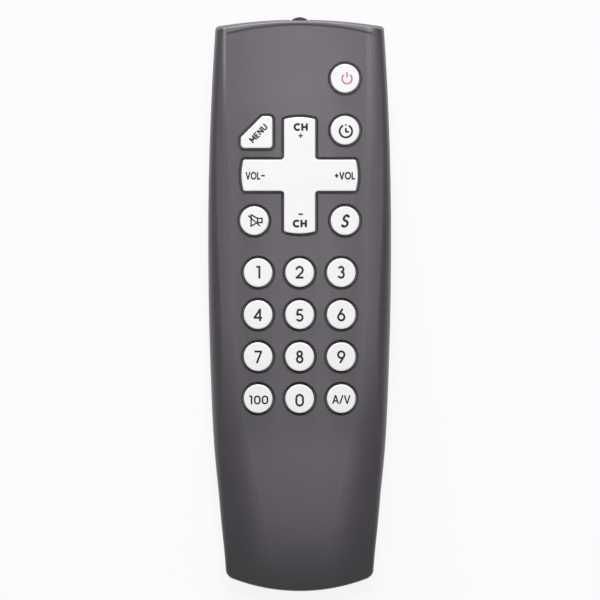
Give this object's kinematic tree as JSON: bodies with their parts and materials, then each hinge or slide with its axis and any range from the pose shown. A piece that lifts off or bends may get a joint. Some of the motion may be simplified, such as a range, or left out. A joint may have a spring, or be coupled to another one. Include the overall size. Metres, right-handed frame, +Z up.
{
  "type": "tv remote control",
  "caption": "Hand-held infrared remote control with a two-part grey case, white rubber keys, a four-way rocker and a sliding battery door.",
  "frame": {"origin": "on the flat back that the remote rests on, under the middle of its length and width", "axes": "+Z up through the keys, +Y along the length towards the infrared nose, +X to the right seen from above with the nose away"},
  "size_m": [0.0558, 0.175, 0.0239],
  "materials": {
    "grey_case": "fine moulded grain, satin",
    "dark_window": "polished, dark red-black",
    "white_silicone": "matt silicone rubber",
    "zinc_steel": "zinc plated",
    "board_laminate": "brown paper laminate",
    "carbon_ink": "printed or moulded carbon",
    "tinted_epoxy": "clear tinted lens",
    "black_epoxy": "moulded epoxy",
    "orange_ceramic": "dipped coating",
    "can_sleeve": "shrunk sleeve",
    "resistor_lacquer": "lacquered body",
    "tinned_wire": "tinned copper",
    "nickel_strip": "nickel plated strip",
    "cell_wrap": "shrunk plastic sleeve",
    "white_acetal": "moulded acetal"
  },
  "bodies": {
    "housing": {"battery_bridge_contact": "nickel_strip", "battery_left": "cell_wrap", "battery_negative_contact": "nickel_strip", "battery_positive_contact": "nickel_strip", "battery_right": "cell_wrap", "bottom_housing": "grey_case", "case_screw": "zinc_steel", "ceramic_capacitor": "orange_ceramic", "ceramic_resonator": "orange_ceramic", "circuit_board": "board_laminate", "contact_pads": "carbon_ink", "controller_chip": "black_epoxy", "driver_transistor": "black_epoxy", "electrolytic_capacitor": "can_sleeve", "ir_led": "tinted_epoxy", "ir_window": "dark_window", "key_mat": "white_silicone", "resistors": "resistor_lacquer", "top_housing": "grey_case", "wire_jumpers": "tinned_wire"},
    "battery_door": {"battery_door": "grey_case"},
    "rocker_pivot": {"rocker_pivot_ball": "white_acetal"},
    "rocker": {"rocker_key": "white_silicone", "rocker_key_pills": "carbon_ink"},
    "av_key": {"av_key": "white_silicone", "av_key_pill": "carbon_ink"},
    "digit_0_key": {"digit_0_key": "white_silicone", "digit_0_key_pill": "carbon_ink"},
    "digit_1_key": {"digit_1_key": "white_silicone", "digit_1_key_pill": "carbon_ink"},
    "digit_2_key": {"digit_2_key": "white_silicone", "digit_2_key_pill": "carbon_ink"},
    "digit_3_key": {"digit_3_key": "white_silicone", "digit_3_key_pill": "carbon_ink"},
    "digit_4_key": {"digit_4_key": "white_silicone", "digit_4_key_pill": "carbon_ink"},
    "digit_5_key": {"digit_5_key": "white_silicone", "digit_5_key_pill": "carbon_ink"},
    "digit_6_key": {"digit_6_key": "white_silicone", "digit_6_key_pill": "carbon_ink"},
    "digit_7_key": {"digit_7_key": "white_silicone", "digit_7_key_pill": "carbon_ink"},
    "digit_8_key": {"digit_8_key": "white_silicone", "digit_8_key_pill": "carbon_ink"},
    "digit_9_key": {"digit_9_key": "white_silicone", "digit_9_key_pill": "carbon_ink"},
    "hundred_key": {"hundred_key": "white_silicone", "hundred_key_pill": "carbon_ink"},
    "menu_key": {"menu_key": "white_silicone", "menu_key_pill": "carbon_ink"},
    "mute_key": {"mute_key": "white_silicone", "mute_key_pill": "carbon_ink"},
    "power_key": {"power_key": "white_silicone", "power_key_pill": "carbon_ink"},
    "s_key": {"s_key": "white_silicone", "s_key_pill": "carbon_ink"},
    "timer_key": {"timer_key": "white_silicone", "timer_key_pill": "carbon_ink"}
  },
  "joints": [
    {"name": "av_key_press", "type": "slide", "parent": "housing", "child": "av_key", "axis": [0, 0, -1], "range_m": [0, 0.0011], "stiffness_N_per_m": 600, "springref_m": -0.0006},
    {"name": "digit_0_key_press", "type": "slide", "parent": "housing", "child": "digit_0_key", "axis": [0, 0, -1], "range_m": [0, 0.0011], "stiffness_N_per_m": 600, "springref_m": -0.0006},
    {"name": "digit_1_key_press", "type": "slide", "parent": "housing", "child": "digit_1_key", "axis": [0, 0, -1], "range_m": [0, 0.0011], "stiffness_N_per_m": 600, "springref_m": -0.0006},
    {"name": "digit_2_key_press", "type": "slide", "parent": "housing", "child": "digit_2_key", "axis": [0, 0, -1], "range_m": [0, 0.0011], "stiffness_N_per_m": 600, "springref_m": -0.0006},
    {"name": "digit_3_key_press", "type": "slide", "parent": "housing", "child": "digit_3_key", "axis": [0, 0, -1], "range_m": [0, 0.0011], "stiffness_N_per_m": 600, "springref_m": -0.0006},
    {"name": "digit_4_key_press", "type": "slide", "parent": "housing", "child": "digit_4_key", "axis": [0, 0, -1], "range_m": [0, 0.0011], "stiffness_N_per_m": 600, "springref_m": -0.0006},
    {"name": "digit_5_key_press", "type": "slide", "parent": "housing", "child": "digit_5_key", "axis": [0, 0, -1], "range_m": [0, 0.0011], "stiffness_N_per_m": 600, "springref_m": -0.0006},
    {"name": "digit_6_key_press", "type": "slide", "parent": "housing", "child": "digit_6_key", "axis": [0, 0, -1], "range_m": [0, 0.0011], "stiffness_N_per_m": 600, "springref_m": -0.0006},
    {"name": "digit_7_key_press", "type": "slide", "parent": "housing", "child": "digit_7_key", "axis": [0, 0, -1], "range_m": [0, 0.0011], "stiffness_N_per_m": 600, "springref_m": -0.0006},
    {"name": "digit_8_key_press", "type": "slide", "parent": "housing", "child": "digit_8_key", "axis": [0, 0, -1], "range_m": [0, 0.0011], "stiffness_N_per_m": 600, "springref_m": -0.0006},
    {"name": "digit_9_key_press", "type": "slide", "parent": "housing", "child": "digit_9_key", "axis": [0, 0, -1], "range_m": [0, 0.0011], "stiffness_N_per_m": 600, "springref_m": -0.0006},
    {"name": "hundred_key_press", "type": "slide", "parent": "housing", "child": "hundred_key", "axis": [0, 0, -1], "range_m": [0, 0.0011], "stiffness_N_per_m": 600, "springref_m": -0.0006},
    {"name": "menu_key_press", "type": "slide", "parent": "housing", "child": "menu_key", "axis": [0, 0, -1], "range_m": [0, 0.0011], "stiffness_N_per_m": 600, "springref_m": -0.0006},
    {"name": "mute_key_press", "type": "slide", "parent": "housing", "child": "mute_key", "axis": [0, 0, -1], "range_m": [0, 0.0011], "stiffness_N_per_m": 600, "springref_m": -0.0006},
    {"name": "power_key_press", "type": "slide", "parent": "housing", "child": "power_key", "axis": [0, 0, -1], "range_m": [0, 0.0011], "stiffness_N_per_m": 600, "springref_m": -0.0006},
    {"name": "s_key_press", "type": "slide", "parent": "housing", "child": "s_key", "axis": [0, 0, -1], "range_m": [0, 0.0011], "stiffness_N_per_m": 600, "springref_m": -0.0006},
    {"name": "timer_key_press", "type": "slide", "parent": "housing", "child": "timer_key", "axis": [0, 0, -1], "range_m": [0, 0.0011], "stiffness_N_per_m": 600, "springref_m": -0.0006},
    {"name": "rocker_channel_tilt", "type": "hinge", "parent": "housing", "child": "rocker_pivot", "pos_m": [0, 0.0392, 0.0186], "axis": [1, 0, 0], "range_deg": [-4, 4], "stiffness_Nm_per_rad": 0.3},
    {"name": "rocker_volume_tilt", "type": "hinge", "parent": "rocker_pivot", "child": "rocker", "pos_m": [0, 0.0392, 0.0186], "axis": [0, 1, 0], "range_deg": [-4, 4], "stiffness_Nm_per_rad": 0.3},
    {"name": "battery_door_slide", "type": "slide", "parent": "housing", "child": "battery_door", "axis": [0, -1, 0], "range_m": [0, 0.062]}
  ]
}
